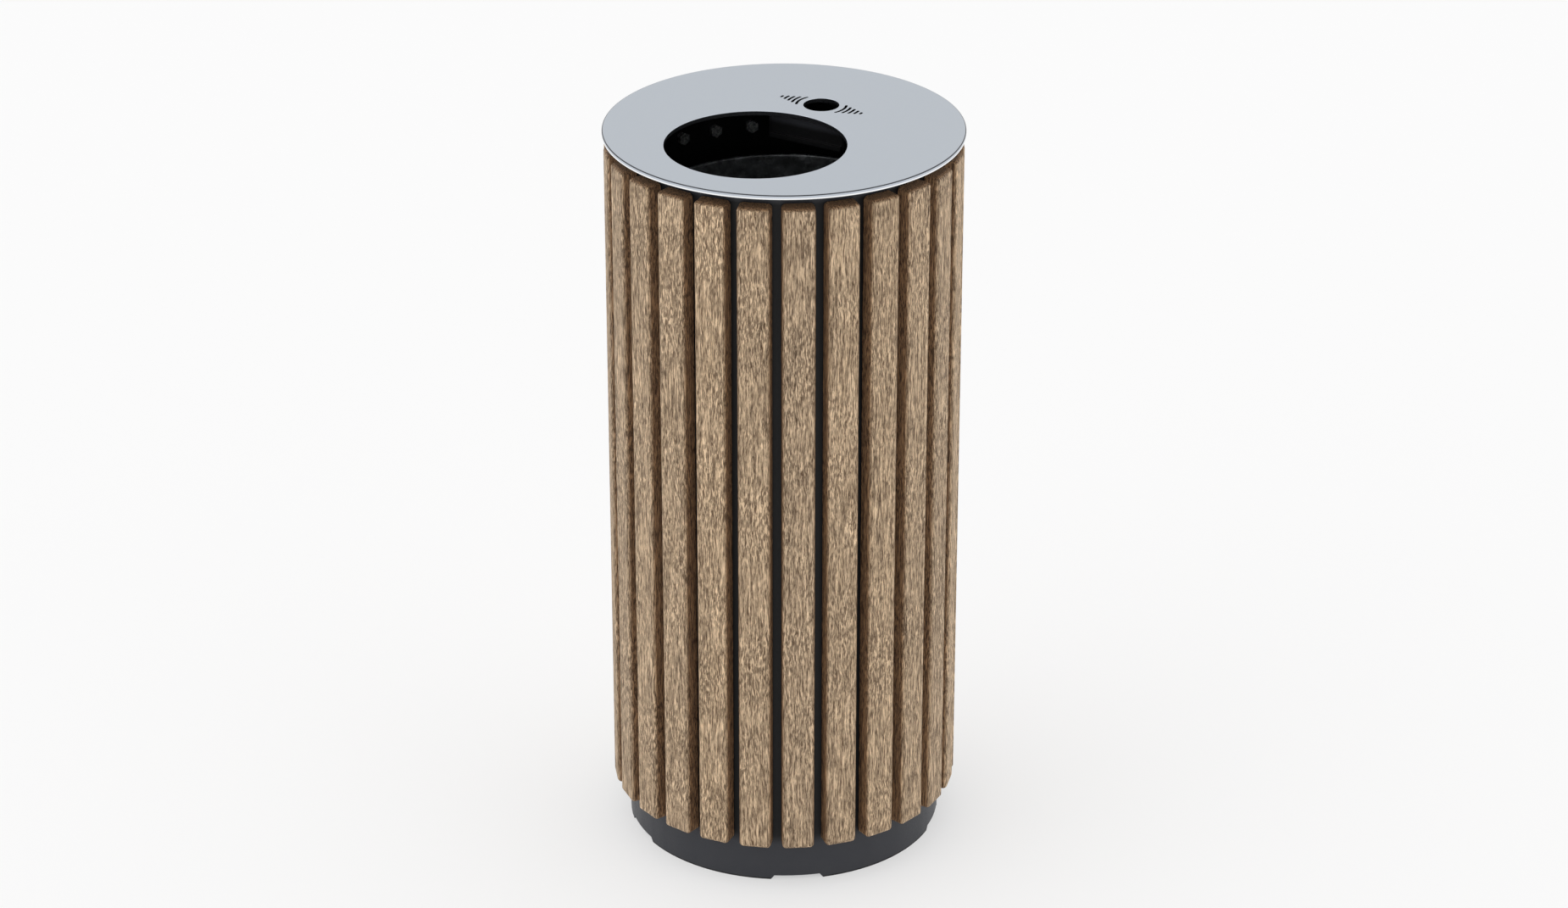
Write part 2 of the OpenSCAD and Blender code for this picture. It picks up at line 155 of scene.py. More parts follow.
bpy.ops.object.select_all(action="DESELECT")
floor_size, floor_glow = 60, 0.5
bpy.ops.mesh.primitive_plane_add(size=floor_size, location=(0, 0, 0))
floor = bpy.context.object
floor.name = "studio_floor"
floor_paint, _, floor_shader = new_material("pale_floor", (0.45, 0.45, 0.45), 0, 0.9)
floor_shader.inputs["Specular IOR Level"].default_value = 0.0
floor_shader.inputs["Emission Color"].default_value = (1, 1, 1, 1)
floor_shader.inputs["Emission Strength"].default_value = floor_glow
floor.data.materials.append(floor_paint)

# ---------------------------------------------------------------------------------------------
# Shell, top ring, base plate and liner lugs. One sheet of steel rolled into a cylinder and welded,
# its foot notched to stand on five long feet; the ring, plate and lugs are welded inside it.
# All of it is powder coated dark grey, with the fine orange peel that such a coat has.
# ---------------------------------------------------------------------------------------------


def new_group(name, inputs, outputs):
    """An empty shader node group with named inputs and outputs."""
    made = bpy.data.node_groups.new(name, "ShaderNodeTree")
    for label, kind, value in inputs:
        socket = made.interface.new_socket(label, in_out="INPUT", socket_type=kind)
        if value is not None:
            socket.default_value = value
    for label, kind in outputs:
        made.interface.new_socket(label, in_out="OUTPUT", socket_type=kind)
    return made, add_node(made, "NodeGroupInput").outputs, add_node(made, "NodeGroupOutput").inputs


def place_group(tree, group, **values):
    """One use of a node group, with its own values."""
    made = add_node(tree, "ShaderNodeGroup", node_tree=group)
    for label, value in values.items():
        feed(tree, made.inputs[label], value)
    return made


def noise(tree, vector, scale, detail=2.0, rough=0.5):
    """A noise pattern's value."""
    made = add_node(tree, "ShaderNodeTexNoise")
    feed(tree, made.inputs["Vector"], vector)
    feed(tree, made.inputs["Scale"], scale)
    feed(tree, made.inputs["Detail"], detail)
    feed(tree, made.inputs["Roughness"], rough)
    return made.outputs["Fac"]


def spread(tree, value, low, high, to_low=0.0, to_high=1.0):
    """A value stretched from one range to another and held inside it."""
    made = add_node(tree, "ShaderNodeMapRange", clamp=True)
    for index, source in enumerate((value, low, high, to_low, to_high)):
        feed(tree, made.inputs[index], source)
    return made.outputs["Result"]


def maths(tree, operation, first, second):
    """One sum on two values."""
    made = add_node(tree, "ShaderNodeMath", operation=operation)
    feed(tree, made.inputs[0], first)
    feed(tree, made.inputs[1], second)
    return made.outputs[0]


def blend_colours(tree, amount, first, second, kind="MIX"):
    """Two colours mixed by an amount."""
    made = add_node(tree, "ShaderNodeMix", data_type="RGBA", blend_type=kind)
    feed(tree, made.inputs["Factor"], amount)
    for socket, source in ((made.inputs[6], first), (made.inputs[7], second)):
        feed(tree, socket, source if isinstance(source, bpy.types.NodeSocket) else (*source, 1))
    return made.outputs[2]


def bump(tree, height, distance):
    """A normal from a height pattern, in metres."""
    made = add_node(tree, "ShaderNodeBump")
    feed(tree, made.inputs["Height"], height)
    feed(tree, made.inputs["Distance"], distance)
    feed(tree, made.inputs["Strength"], 1.0)
    return made.outputs["Normal"]


def own_place(tree):
    """The point's place on the object."""
    return add_node(tree, "ShaderNodeTexCoord").outputs["Object"]


def pick(piece, kind, wanted):
    """Open a piece for editing with only the wanted corners, edges or faces selected."""
    bpy.ops.object.select_all(action="DESELECT")
    bpy.context.view_layer.objects.active = piece
    piece.select_set(True)
    bpy.ops.object.mode_set(mode="EDIT")
    bpy.ops.mesh.select_mode(type=kind)
    bpy.ops.mesh.select_all(action="DESELECT")
    bpy.ops.object.mode_set(mode="OBJECT")
    mesh = piece.data
    for part in {"VERT": mesh.vertices, "EDGE": mesh.edges, "FACE": mesh.polygons}[kind]:
        part.select = wanted(part)
    bpy.ops.object.mode_set(mode="EDIT")


def put_down(piece, name, material, smooth_below):
    """Finish a piece: its place goes into its mesh, and its faces shade smooth up to its edges."""
    if bpy.context.mode != "OBJECT":
        bpy.ops.object.mode_set(mode="OBJECT")
    bpy.ops.object.select_all(action="DESELECT")
    piece.select_set(True)
    bpy.context.view_layer.objects.active = piece
    bpy.ops.object.transform_apply(location=True, rotation=True, scale=True)
    bpy.ops.object.shade_smooth_by_angle(angle=math.radians(smooth_below))
    flatness = piece.modifiers.new("flat faces", "WEIGHTED_NORMAL")
    flatness.keep_sharp = True
    bpy.ops.object.modifier_apply(modifier=flatness.name)
    piece.name = piece.data.name = name
    piece.data.materials.clear()
    piece.data.materials.append(material)


def edge_ends(piece, edge):
    """The two corners of an edge."""
    return [piece.data.vertices[corner].co for corner in edge.vertices]


def sharp_keys(piece, above=45):
    """The edges of a piece where two faces turn by more than an angle, in degrees."""
    sides = {}
    for face in piece.data.polygons:
        for key in face.edge_keys:
            sides.setdefault(key, []).append(face.normal)
    limit = math.cos(math.radians(above))
    return {key for key, pair in sides.items()
            if len(pair) == 2 and pair[0].dot(pair[1]) < limit}


def ease_edges(node, name, material, width, segments=2):
    """Copy a CAD node's mesh, merge it, ease its sharp edges, and let it stand for the node."""
    same_point, flat_within, sliver = 2e-6, math.radians(0.5), 5e-6
    source = frame["nodes"][node]
    piece = bpy.data.objects.new(name, source.data.copy())
    bpy.context.scene.collection.objects.link(piece)
    piece.data.materials.clear()
    pick(piece, "FACE", lambda face: True)
    bpy.ops.mesh.select_all(action="SELECT")
    bpy.ops.mesh.remove_doubles(threshold=same_point)
    bpy.ops.mesh.customdata_custom_splitnormals_clear()
    bpy.ops.mesh.dissolve_limited(angle_limit=flat_within)
    bpy.ops.object.mode_set(mode="OBJECT")
    sharp = sharp_keys(piece)
    pick(piece, "EDGE", lambda edge: edge.key in sharp)
    bpy.ops.mesh.bevel(offset=width, segments=segments, profile=0.5, clamp_overlap=True)
    bpy.ops.mesh.select_all(action="SELECT")
    bpy.ops.mesh.remove_doubles(threshold=sliver)
    put_down(piece, name, material, 40)
    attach(piece, body_of(source)[0])
    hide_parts(node)


painted_steel, tree, shader = new_material("anthracite_powder_coat",
                                           (0.012, 0.013, 0.016), 0, 0.42)
shader.inputs["Specular IOR Level"].default_value = 0.25
place = own_place(tree)
clouding = noise(tree, place, 9, 3)
peel = noise(tree, place, 620, 2)
height_on = add_node(tree, "ShaderNodeSeparateXYZ")
feed(tree, height_on.inputs[0], place)
low_dust = spread(tree, height_on.outputs["Z"], 0.0, 0.05, 1.0, 0.0)
dust = maths(tree, "MULTIPLY", low_dust, spread(tree, noise(tree, place, 60, 5, 0.6), 0.4, 0.75))
coat = blend_colours(tree, clouding, (0.0335, 0.0350, 0.0415), (0.0370, 0.0388, 0.0458))
slats_from, slats_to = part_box("slat_01")[0].z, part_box("slat_01")[1].z
# Painted shade: from just below the slats' foot to just above their top the coat turns near black,
# standing in for the shade behind the slats and inside the shell, on every part in this paint.
painted_shade_behind_slats = maths(tree, "MULTIPLY",
                     spread(tree, height_on.outputs["Z"], slats_from - 0.004, slats_from + 0.008),
                     spread(tree, height_on.outputs["Z"], slats_to - 0.002, slats_to + 0.003,
                            1.0, 0.0))
coat = blend_colours(tree, painted_shade_behind_slats, coat, (0.005, 0.005, 0.0055))
# Painted shadow: a near black line along the lowest 2 mm of the shell stands in for the contact
# shadow where it meets the floor.
painted_contact_shadow = spread(tree, height_on.outputs["Z"], 0.0008, 0.0022, 1.0, 0.0)
coat = blend_colours(tree, painted_contact_shadow, coat, (0.002, 0.002, 0.002))
coat = blend_colours(tree, maths(tree, "MULTIPLY", dust, 0.10), coat, (0.09, 0.088, 0.082))
feed(tree, shader.inputs["Base Color"], coat)
feed(tree, shader.inputs["Roughness"], spread(tree, peel, 0.3, 0.7, 0.38, 0.50))
feed(tree, shader.inputs["Normal"], bump(tree, peel, 0.00012))
for node, name, width in (("shell", "rolled_shell", 0.0005),
                          ("top_ring", "welded_top_ring", 0.0003),
                          ("base_plate", "welded_base_plate", 0.0004),
                          ("liner_lugs", "folded_liner_lugs", 0.0005)):
    ease_edges(node, name, painted_steel, width)

# ---------------------------------------------------------------------------------------------
# Lid buffers. Black rubber buffers pushed into the top ring for the lid to rest on, moulded,
# dull and a little dusty.
# ---------------------------------------------------------------------------------------------
black_rubber, tree, shader = new_material("black_rubber", (0.018, 0.018, 0.019), 0, 0.7)
place = own_place(tree)
feed(tree, shader.inputs["Base Color"],
     blend_colours(tree, noise(tree, place, 140, 4), (0.014, 0.014, 0.015), (0.034, 0.033, 0.032)))
feed(tree, shader.inputs["Normal"], bump(tree, noise(tree, place, 1500), 0.00008))
ease_edges("lid_buffers", "push_in_buffers", black_rubber, 0.0006, 3)

# ---------------------------------------------------------------------------------------------
# Slats. Twenty-five lengths of hardwood, 36 by 18, planed with eased edges and left unoiled, so the
# face has greyed to a light tan over browner sides, and the sides and top ends are darkened further
# with painted shade. Each stands on end and is held from inside.
# ---------------------------------------------------------------------------------------------
timber, tree, shader = new_material("weathered_hardwood", (0.38, 0.27, 0.18), 0, 0.7)
shader.inputs["Specular IOR Level"].default_value = 0.3

streaks, given, result = new_group(
    "wood_streaks",
    [("Vector", "NodeSocketVector", None), ("Across", "NodeSocketFloat", 500.0),
     ("Along", "NodeSocketFloat", 50.0), ("Low", "NodeSocketFloat", 0.5),
     ("High", "NodeSocketFloat", 0.7)],
    [("Mask", "NodeSocketFloat")])
stretch = add_node(streaks, "ShaderNodeCombineXYZ")
for axis, rate in (("X", "Across"), ("Y", "Across"), ("Z", "Along")):
    feed(streaks, stretch.inputs[axis], given[rate])
stretched = add_node(streaks, "ShaderNodeVectorMath", operation="MULTIPLY")
feed(streaks, stretched.inputs[0], given["Vector"])
feed(streaks, stretched.inputs[1], stretch.outputs[0])
streak_noise = noise(streaks, stretched.outputs[0], 1.0, 4, 0.6)
feed(streaks, result["Mask"], spread(streaks, streak_noise, given["Low"], given["High"]))

slat_place = add_node(tree, "ShaderNodeAttribute", attribute_name="slat_place").outputs["Vector"]
slat_seed = add_node(tree, "ShaderNodeAttribute", attribute_name="slat_seed").outputs["Vector"]
own_grain = add_node(tree, "ShaderNodeVectorMath", operation="ADD")
feed(tree, own_grain.inputs[0], slat_place)
feed(tree, own_grain.inputs[1], slat_seed)
grain_at = own_grain.outputs[0]

waver = add_node(tree, "ShaderNodeTexNoise")
stretch_out = add_node(tree, "ShaderNodeMapping")
feed(tree, stretch_out.inputs["Vector"], grain_at)
stretch_out.inputs["Scale"].default_value = (55, 55, 22)
feed(tree, waver.inputs["Vector"], stretch_out.outputs[0])
waver.inputs["Scale"].default_value = 1
waver.inputs["Detail"].default_value = 2
sway = add_node(tree, "ShaderNodeVectorMath", operation="MULTIPLY_ADD")
feed(tree, sway.inputs[0], waver.outputs["Color"])
sway.inputs[1].default_value = (0.0065, 0.0065, 0)
feed(tree, sway.inputs[2], grain_at)
wavy_at = sway.outputs[0]

lean = add_node(tree, "ShaderNodeMapping")
feed(tree, lean.inputs["Vector"], grain_at)
lean.inputs["Rotation"].default_value = (math.radians(13), math.radians(4), 0)
lean.inputs["Scale"].default_value = (1, 1, 0.12)
rings = add_node(tree, "ShaderNodeTexWave", wave_type="RINGS", rings_direction="Z",
                 wave_profile="SAW")
feed(tree, rings.inputs["Vector"], lean.outputs[0])
rings.inputs["Scale"].default_value = 62
rings.inputs["Distortion"].default_value = 5
rings.inputs["Detail"].default_value = 3
rings.inputs["Detail Scale"].default_value = 0.9
rings.inputs["Detail Roughness"].default_value = 0.6

broad_tone = place_group(tree, streaks, Vector=grain_at, Across=70.0, Along=5.0, Low=0.35,
                         High=0.68).outputs[0]
flecks = place_group(tree, streaks, Vector=wavy_at, Across=860.0, Along=125.0, Low=0.45,
                     High=0.56).outputs[0]
lines = place_group(tree, streaks, Vector=wavy_at, Across=680.0, Along=32.0, Low=0.44,
                    High=0.57).outputs[0]
fibres = place_group(tree, streaks, Vector=wavy_at, Across=1000.0, Along=90.0, Low=0.36,
                     High=0.66).outputs[0]
pore_groups = place_group(tree, streaks, Vector=grain_at, Across=60.0, Along=9.0, Low=0.42,
                          High=0.62).outputs[0]
pores = place_group(tree, streaks, Vector=wavy_at, Across=640.0, Along=70.0, Low=0.55,
                    High=0.66).outputs[0]
pores = maths(tree, "MULTIPLY", pores, spread(tree, pore_groups, 0, 1, 0.25, 1.0))
seed_parts = add_node(tree, "ShaderNodeSeparateXYZ")
feed(tree, seed_parts.inputs[0], slat_seed)
slat_tone = seed_parts.outputs["Z"]
place_parts = add_node(tree, "ShaderNodeSeparateXYZ")
feed(tree, place_parts.inputs[0], slat_place)

straight = spread(tree, noise(tree, grain_at, 11, 2), 0.40, 0.60, 0.20, 0.70)
grain = add_node(tree, "ShaderNodeMix", data_type="FLOAT")
feed(tree, grain.inputs[0], straight)
feed(tree, grain.inputs[2], flecks)
feed(tree, grain.inputs[3], lines)
grain = grain.outputs[0]
wood = blend_colours(tree, grain, (0.105, 0.055, 0.024), (0.980, 0.735, 0.490))
wood = blend_colours(tree, maths(tree, "MULTIPLY", fibres, 0.25), wood, (0.64, 0.50, 0.355))
wood = blend_colours(tree, maths(tree, "MULTIPLY", pores, 0.60), wood, (0.09, 0.055, 0.032))
figure = blend_colours(tree, rings.outputs["Fac"], (0.82, 0.80, 0.77), (1.12, 1.12, 1.12))
wood = blend_colours(tree, 1.0, wood, figure, "MULTIPLY")
wood = blend_colours(tree, 1.0, wood, blend_colours(tree, broad_tone, (0.90, 0.89, 0.88),
                                                    (1.08, 1.07, 1.06)), "MULTIPLY")
wood = blend_colours(tree, 1.0, wood, blend_colours(tree, slat_tone, (0.92, 0.92, 0.93),
                                                    (1.06, 1.05, 1.03)), "MULTIPLY")
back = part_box("slat_13")
slat_back, slat_face = back[0].y, back[1].y
slat_low, slat_high = back[0].z, back[1].z
# Painted shade: the slats' sides and their top ends under the lid turn dark brown, standing in for
# the shade between the slats and under the lid.
painted_side_shade = spread(tree, place_parts.outputs["Y"], -slat_face + 0.0006, -slat_face + 0.0040)
painted_end_shade = spread(tree, place_parts.outputs["Z"], slat_high - 0.004, slat_high - 0.001)
shade = maths(tree, "MULTIPLY", maths(tree, "MAXIMUM", painted_side_shade, painted_end_shade), 0.94)
wood = blend_colours(tree, shade, wood, blend_colours(tree, grain, (0.070, 0.036, 0.016),
                                                      (0.460, 0.250, 0.118)))
feed(tree, shader.inputs["Base Color"], wood)
feed(tree, shader.inputs["Roughness"], spread(tree, pores, 0, 1, 0.62, 0.9))
relief = maths(tree, "SUBTRACT", maths(tree, "ADD", grain, maths(tree, "MULTIPLY", fibres, 0.4)),
               pores)
feed(tree, shader.inputs["Normal"], bump(tree, relief, 0.0008))

slat_width, slat_count, eased = back[1].x - back[0].x, 25, 0.004
bpy.ops.object.select_all(action="DESELECT")
bpy.ops.mesh.primitive_cube_add(
    size=1, location=(0, -(slat_back + slat_face) / 2, (slat_low + slat_high) / 2),
    scale=(slat_width, slat_face - slat_back, slat_high - slat_low))
slat_pattern = bpy.context.object
bpy.ops.object.transform_apply(location=True, rotation=True, scale=True)
pick(slat_pattern, "EDGE",
     lambda edge: any(end.y < -slat_back - eased for end in edge_ends(slat_pattern, edge)))
bpy.ops.mesh.bevel(offset=eased, segments=5, profile=0.4)
put_down(slat_pattern, "slat_pattern", timber, 50)

draw = random.Random(25)
for number in range(1, slat_count + 1):
    node = f"slat_{number:02d}"
    low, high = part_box(node)
    middle = (low + high) / 2
    turn = math.atan2(middle.x, -middle.y)
    slat = slat_pattern.copy()
    slat.data = slat_pattern.data.copy()
    slat.name = slat.data.name = f"timber_{node}"
    bpy.context.scene.collection.objects.link(slat)
    seed = Vector((draw.uniform(-0.05, 0.05), draw.uniform(0.13, 0.26), draw.uniform(0, 1)))
    at = slat.data.attributes.new("slat_place", "FLOAT_VECTOR", "POINT")
    at.data.foreach_set("vector", [part for corner in slat.data.vertices for part in corner.co])
    own = slat.data.attributes.new("slat_seed", "FLOAT_VECTOR", "POINT")
    own.data.foreach_set("vector", list(seed) * len(slat.data.vertices))
    slat.data.transform(Matrix.Rotation(turn, 4, "Z"))
    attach(slat, "body")
    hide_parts(node)
bpy.data.objects.remove(slat_pattern)

# ---------------------------------------------------------------------------------------------
# Slat fixings. Behind each slat, top and bottom, a zinc plated insert is set in the wood, and a
# hexagon screw with a plain washer comes through the shell from inside.
# ---------------------------------------------------------------------------------------------
zinc_plated, tree, shader = new_material("zinc_plated_steel", (0.55, 0.56, 0.56), 1, 0.38)
place = own_place(tree)
mottle = noise(tree, place, 320, 4, 0.6)
feed(tree, shader.inputs["Base Color"],
     blend_colours(tree, spread(tree, mottle, 0.38, 0.62),
                   (0.40, 0.41, 0.41), (0.86, 0.86, 0.84)))
feed(tree, shader.inputs["Roughness"], spread(tree, mottle, 0.3, 0.7, 0.30, 0.48))
feed(tree, shader.inputs["Normal"], bump(tree, noise(tree, place, 1400), 0.00005))
for row in ("upper", "lower"):
    ease_edges(f"{row}_slat_inserts", f"{row}_threaded_inserts", zinc_plated,
               0.0003, 1)
    ease_edges(f"{row}_slat_screws", f"{row}_hexagon_screws", zinc_plated,
               0.0007)

# Painted shade: the washers are zinc plated like the screws, but coloured near black to stand in
# for the shade round the screw heads.
zinc_in_painted_shade, tree, shader = new_material("zinc_washers_in_painted_shade", (0.05, 0.05, 0.052), 1, 0.45)
place = own_place(tree)
feed(tree, shader.inputs["Base Color"],
     blend_colours(tree, noise(tree, place, 220, 3), (0.035, 0.035, 0.037), (0.07, 0.07, 0.072)))
for row in ("upper", "lower"):
    ease_edges(f"{row}_slat_washers", f"{row}_plain_washers", zinc_in_painted_shade,
               0.0003, 1)

# ---------------------------------------------------------------------------------------------
# Lid hinge, body half. A zinc plated leaf inside the shell with its headed pin, held by
# countersunk screws and nuts. The lid's own leaf is made with the lid, of the lid's steel.
# ---------------------------------------------------------------------------------------------
for node, name, width in (("body_hinge_leaf", "lower_hinge_leaf", 0.0004),
                          ("hinge_pin", "headed_hinge_pin", 0.0003),
                          ("hinge_screws", "countersunk_screws", 0.0002),
                          ("hinge_nuts", "hinge_lock_nuts", 0.0004)):
    ease_edges(node, name, zinc_plated, width)

# ---------------------------------------------------------------------------------------------
# Lid plate. One disc of 5 mm stainless steel, cut with the litter opening, the ash hole and two
# fans of short arc slots to stub out on, its rim eased and its faces finely ground.
# ---------------------------------------------------------------------------------------------
stainless, tree, shader = new_material("ground_stainless", (0.470, 0.509, 0.556), 1, 0.34)
place = own_place(tree)
grinding = add_node(tree, "ShaderNodeMapping")
feed(tree, grinding.inputs["Vector"], place)
grinding.inputs["Scale"].default_value = (45, 1400, 1400)
scratches = noise(tree, grinding.outputs[0], 1.0, 3, 0.6)
patches = noise(tree, place, 18, 3)
steel = blend_colours(tree, scratches, (0.450, 0.489, 0.536), (0.490, 0.529, 0.576))
steel = blend_colours(tree, maths(tree, "MULTIPLY", patches, 0.25), steel, (0.480, 0.510, 0.552))
feed(tree, shader.inputs["Base Color"], steel)
feed(tree, shader.inputs["Roughness"], spread(tree, scratches, 0.25, 0.75, 0.28, 0.42))
feed(tree, shader.inputs["Normal"], bump(tree, scratches, 0.00002))
ease_edges("lid_hinge_leaf", "upper_hinge_leaf", stainless, 0.0004)

lid_low, lid_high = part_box("lid_plate")
lid_radius = lid_high.x
lid_bottom, lid_top = lid_low.z, lid_high.z

polished_and_highlit_edge, tree, shader = new_material("polished_and_highlit_stainless_edge",
                                           (0.75, 0.78, 0.82), 1, 0.15)
place = own_place(tree)
feed(tree, shader.inputs["Roughness"],
     spread(tree, noise(tree, place, 300, 3), 0.3, 0.7, 0.12, 0.22))
edge_height = add_node(tree, "ShaderNodeSeparateXYZ")
feed(tree, edge_height.inputs[0], place)
# Painted highlight: the polished edges are coloured lighter than the ground faces, and a near white
# band along the lowest 2 mm of them stands in for the bright line of light along the foot of the
# rim.
polish_and_highlight = blend_colours(tree, noise(tree, place, 90, 3), (0.50, 0.54, 0.60), (0.57, 0.61, 0.67))
painted_rim_highlight = spread(tree, edge_height.outputs["Z"], lid_bottom + 0.0012, lid_bottom + 0.0022,
                   1.0, 0.0)
feed(tree, shader.inputs["Base Color"],
     blend_colours(tree, painted_rim_highlight, polish_and_highlight, (0.97, 0.98, 0.99)))

# Dark colour of the cut walls, also given to the eased top of the lid's rim as a painted dark
# reflection.
dark_cut_and_reflection, tree, shader = new_material("laser_cut_and_painted_reflection", (0.07, 0.074, 0.082), 1, 0.4)
place = own_place(tree)
drag = add_node(tree, "ShaderNodeMapping")
feed(tree, drag.inputs["Vector"], place)
drag.inputs["Scale"].default_value = (1500, 1500, 90)
drag_lines = noise(tree, drag.outputs[0], 1.0, 2)
feed(tree, shader.inputs["Base Color"],
     blend_colours(tree, drag_lines, (0.045, 0.048, 0.054), (0.095, 0.10, 0.11)))
feed(tree, shader.inputs["Normal"], bump(tree, drag_lines, 0.00005))

rim_ease, hole_ease, slot_ease = 0.001, 0.0004, 0.00015
litter_radius, litter_at = 0.100, Vector((0, -0.060))
ash_radius, ash_at = 0.020, Vector((0, 0.080))
slot_width, first_slot, slot_pitch = 0.003, 0.028, 0.00575
slot_spans = [50, 30, 19, 11, 4]
through, same_point, sliver, near_rim = 0.004, 2e-5, 1e-5, 1e-4
rim_corners, litter_corners, ash_corners, slot_corners, spin_step = 256, 192, 96, 24, 3
cut_depth = lid_top - lid_bottom + 2 * through
lid_middle = (lid_bottom + lid_top) / 2

bpy.ops.object.select_all(action="DESELECT")
bpy.ops.mesh.primitive_cylinder_add(vertices=rim_corners, radius=lid_radius,
                                    depth=lid_top - lid_bottom, location=(0, 0, lid_middle))
lid = bpy.context.object
bpy.ops.object.transform_apply(location=True)


def cut_away(piece, cutter):
    """Take a cutter's solid out of a piece, and drop the cutter."""
    cut = piece.modifiers.new("cut", "BOOLEAN")
    cut.object, cut.operation, cut.solver = cutter, "DIFFERENCE", "EXACT"
    cut.use_self = True
    bpy.ops.object.select_all(action="DESELECT")
    piece.select_set(True)
    bpy.context.view_layer.objects.active = piece
    bpy.ops.object.modifier_apply(modifier=cut.name)
    bpy.data.objects.remove(cutter)


cutters = []
for centre, radius, corners in ((litter_at, litter_radius, litter_corners),
                                (ash_at, ash_radius, ash_corners)):
    bpy.ops.mesh.primitive_cylinder_add(vertices=corners, radius=radius, depth=cut_depth,
                                        location=(*centre, lid_middle))
    cutters.append(bpy.context.object)
for side in (0, math.pi):
    for index, span in enumerate(slot_spans):
        reach, sweep = first_slot + index * slot_pitch, math.radians(span)
        start = side - sweep / 2
        for end in (start, side + sweep / 2):
            bpy.ops.mesh.primitive_cylinder_add(
                vertices=slot_corners, radius=slot_width / 2, depth=cut_depth,
                location=(ash_at.x + reach * math.cos(end), ash_at.y + reach * math.sin(end),
                          lid_middle))
            cutters.append(bpy.context.object)
        bpy.ops.mesh.primitive_plane_add(
            size=1, location=(ash_at.x + reach * math.cos(start),
                              ash_at.y + reach * math.sin(start), lid_middle),
            rotation=(math.pi / 2, 0, start))
        slot = bpy.context.object
        slot.scale = (slot_width, cut_depth, 1)
        bpy.ops.object.transform_apply(location=True, rotation=True, scale=True)
        bpy.ops.object.mode_set(mode="EDIT")
        bpy.ops.mesh.select_all(action="SELECT")
        bpy.ops.mesh.spin(steps=max(2, round(span / spin_step)), angle=-sweep,
                          center=(*ash_at, lid_middle), axis=(0, 0, 1))
        bpy.ops.mesh.select_all(action="SELECT")
        bpy.ops.mesh.remove_doubles(threshold=1e-6)
        bpy.ops.mesh.normals_make_consistent(inside=False)
        bpy.ops.object.mode_set(mode="OBJECT")
        cutters.append(slot)
bpy.ops.object.select_all(action="DESELECT")
for cutter in cutters:
    cutter.select_set(True)
bpy.context.view_layer.objects.active = cutters[0]
bpy.ops.object.join()
cut_away(lid, cutters[0])
pick(lid, "FACE", lambda face: True)
bpy.ops.mesh.select_all(action="SELECT")
bpy.ops.mesh.remove_doubles(threshold=same_point)
bpy.ops.mesh.dissolve_degenerate(threshold=sliver)
bpy.ops.object.mode_set(mode="OBJECT")


def is_rim(edge):
    """True for an edge on the lid's outline."""
    return all(end.xy.length > lid_radius - near_rim for end in edge_ends(lid, edge))


def is_slot(edge):
    """True for an edge of an arc slot."""
    return all(first_slot - slot_width < (end.xy - ash_at).length < slots_end
               and (end.xy - litter_at).length > litter_radius + slot_width
               for end in edge_ends(lid, edge))


slots_end = first_slot + len(slot_spans) * slot_pitch
sharp = sharp_keys(lid)
pick(lid, "EDGE", lambda edge: edge.key in sharp and is_rim(edge)
     and edge_ends(lid, edge)[0].z > lid_middle)
bpy.ops.mesh.bevel(offset=rim_ease, segments=4, profile=0.5)
bpy.ops.object.mode_set(mode="OBJECT")
for width, segments, on_slots in ((slot_ease, 1, True), (hole_ease, 3, False)):
    sharp = sharp_keys(lid)
    pick(lid, "EDGE", lambda edge: edge.key in sharp and is_slot(edge) == on_slots)
    bpy.ops.mesh.bevel(offset=width, segments=segments, profile=0.5, clamp_overlap=False)
    bpy.ops.object.mode_set(mode="OBJECT")
put_down(lid, "stainless_lid", stainless, 50)
lid.data.materials.append(polished_and_highlit_edge)
lid.data.materials.append(dark_cut_and_reflection)
# The faces are ground, and the vertical rim and the eased edges of the openings are polished and
# coloured lighter as a painted highlight, with a near white painted highlight on the lowest 2 mm of
# these edges. The walls of the openings are left dull and dark, and the eased top of the rim takes
# the same dark colour as a painted dark reflection.
GROUND, POLISHED_AND_HIGHLIT, CUT_AND_DARK_REFLECTION = range(3)
upright, level = 0.05, 0.999
for face in lid.data.polygons:
    on_outline = face.center.xy.length > lid_radius - 2 * rim_ease
    if abs(face.normal.z) > level:
        face.material_index = GROUND
    elif on_outline and face.normal.z > upright:
        face.material_index = CUT_AND_DARK_REFLECTION
    elif not on_outline and abs(face.normal.z) < upright:
        face.material_index = CUT_AND_DARK_REFLECTION
    else:
        face.material_index = POLISHED_AND_HIGHLIT
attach(lid, "lid")
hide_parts("lid_plate")

# ---------------------------------------------------------------------------------------------
# Turn latch. A zinc plated stud welded under the lid, with a cam held on it by a washer and nut;
# the cam's long end turns under the top ring, and its short end has a moulded black grip.
# ---------------------------------------------------------------------------------------------
for node, name, width in (("latch_stud", "welded_latch_stud", 0.0005),
                          ("latch_washer", "latch_cam_washer", 0.0002),
                          ("latch_nut", "latch_lock_nut", 0.0006),
                          ("latch_cam", "turning_latch_cam", 0.0006)):
    ease_edges(node, name, zinc_plated, width)
black_plastic, tree, shader = new_material("black_plastic", (0.016, 0.016, 0.017), 0, 0.5)
place = own_place(tree)
texture = noise(tree, place, 1800, 2)
feed(tree, shader.inputs["Roughness"], spread(tree, texture, 0.3, 0.7, 0.42, 0.6))
feed(tree, shader.inputs["Base Color"],
     blend_colours(tree, noise(tree, place, 90, 3), (0.013, 0.013, 0.014), (0.024, 0.024, 0.025)))
feed(tree, shader.inputs["Normal"], bump(tree, texture, 0.00008))
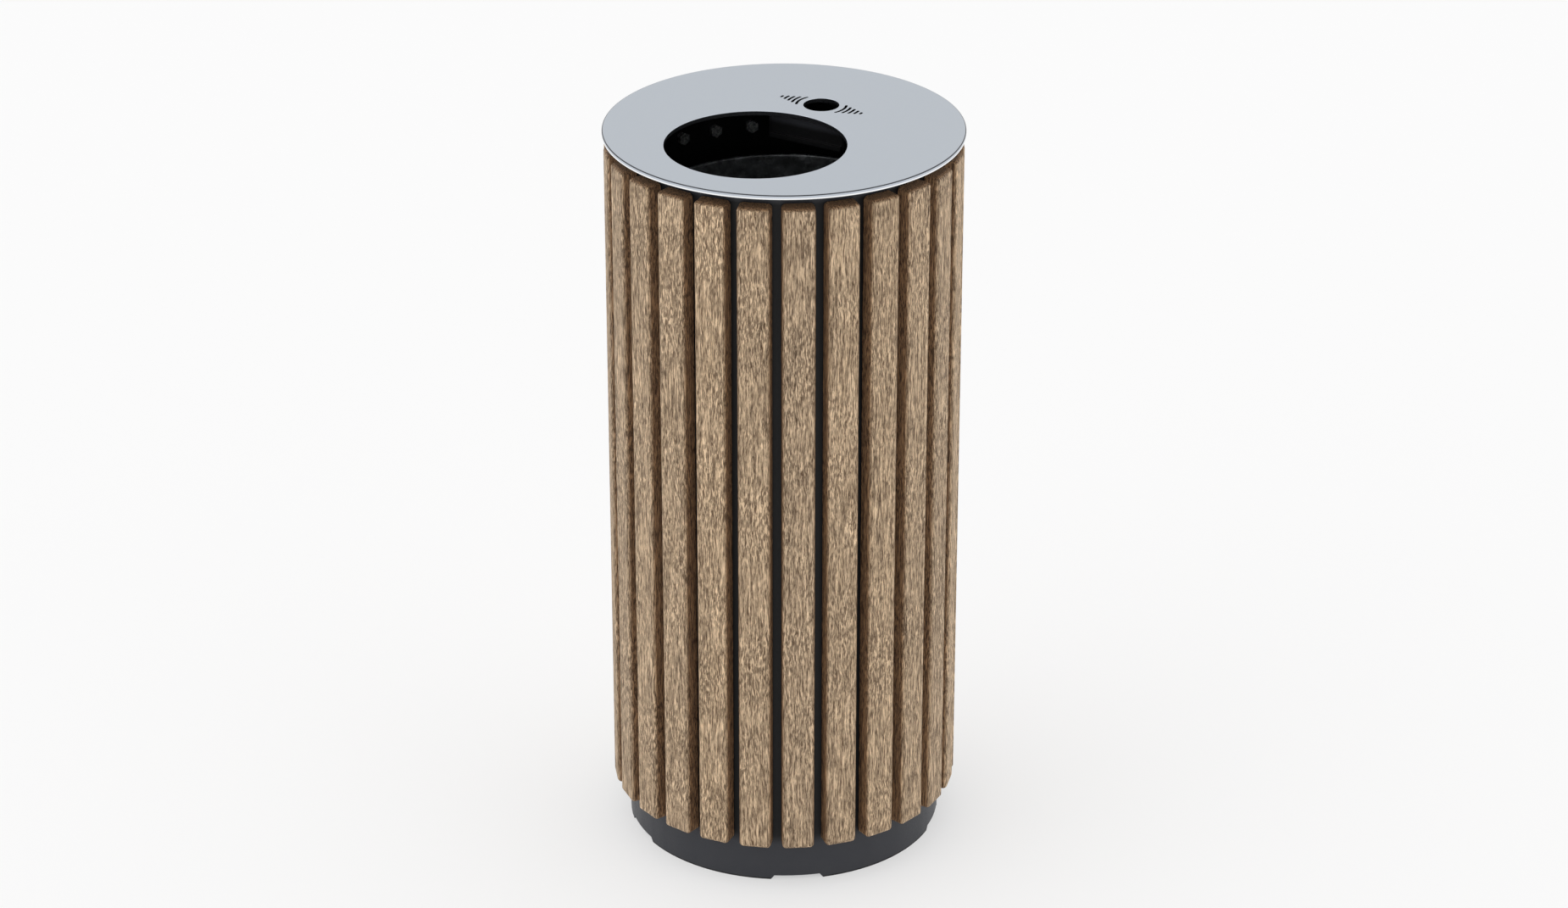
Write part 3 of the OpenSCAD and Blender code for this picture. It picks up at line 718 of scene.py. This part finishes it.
ease_edges("latch_grip", "moulded_latch_grip", black_plastic, 0.0025, 4)

# ---------------------------------------------------------------------------------------------
# Liner. A lift-out bucket of hot dip galvanised sheet, its rim rolled over a bead, with two wire
# drop handles in welded ears; the zinc shows its spangle and has gone patchy and grey with use.
# ---------------------------------------------------------------------------------------------


def paint_nodes(names, material):
    """Give CAD nodes, which keep their shape, a finished material."""
    for name in names:
        for place in frame["nodes"][name].material_slots:
            place.material = material


galvanised, tree, shader = new_material("galvanised_sheet", (0.42, 0.44, 0.46), 1, 0.5)
place = own_place(tree)
spangle = add_node(tree, "ShaderNodeTexVoronoi")
feed(tree, spangle.inputs["Vector"], place)
spangle.inputs["Scale"].default_value = 150
crystal = add_node(tree, "ShaderNodeSeparateColor")
feed(tree, crystal.inputs[0], spangle.outputs["Color"])
stain = spread(tree, noise(tree, place, 45, 7, 0.7), 0.38, 0.62)
zinc_coat = blend_colours(tree, crystal.outputs[0], (0.33, 0.35, 0.37), (0.56, 0.58, 0.60))
zinc_coat = blend_colours(tree, maths(tree, "MULTIPLY", stain, 0.7), zinc_coat,
                          (0.12, 0.12, 0.118))
feed(tree, shader.inputs["Base Color"], zinc_coat)
feed(tree, shader.inputs["Roughness"], spread(tree, crystal.outputs[1], 0, 1, 0.36, 0.58))
feed(tree, shader.inputs["Normal"], bump(tree, noise(tree, place, 500, 3), 0.00006))
for node, name, width in (("liner_wall", "rolled_liner_wall", 0.0003),
                          ("liner_floor", "pressed_liner_floor", 0.0003),
                          ("handle_ears", "welded_handle_ears", 0.0005)):
    ease_edges(node, name, galvanised, width)
paint_nodes(["liner_rim_bead", "liner_handle_left", "liner_handle_right"], galvanised)

# ---------------------------------------------------------------------------------------------
# Ash box and its runner. Folded steel sheet, powder coated as the shell is. The runner is welded
# under the lid, and the box slides in it on a flange whose front edge is turned down to pull by.
# ---------------------------------------------------------------------------------------------
# The shell coat's painted shade, near black up to just above the slats' top, also falls on the box
# and most of the runner.
for node, name in (("ash_cradle", "folded_ash_box_runner"), ("ash_box", "folded_ash_box")):
    ease_edges(node, name, painted_steel, 0.0004)

import json
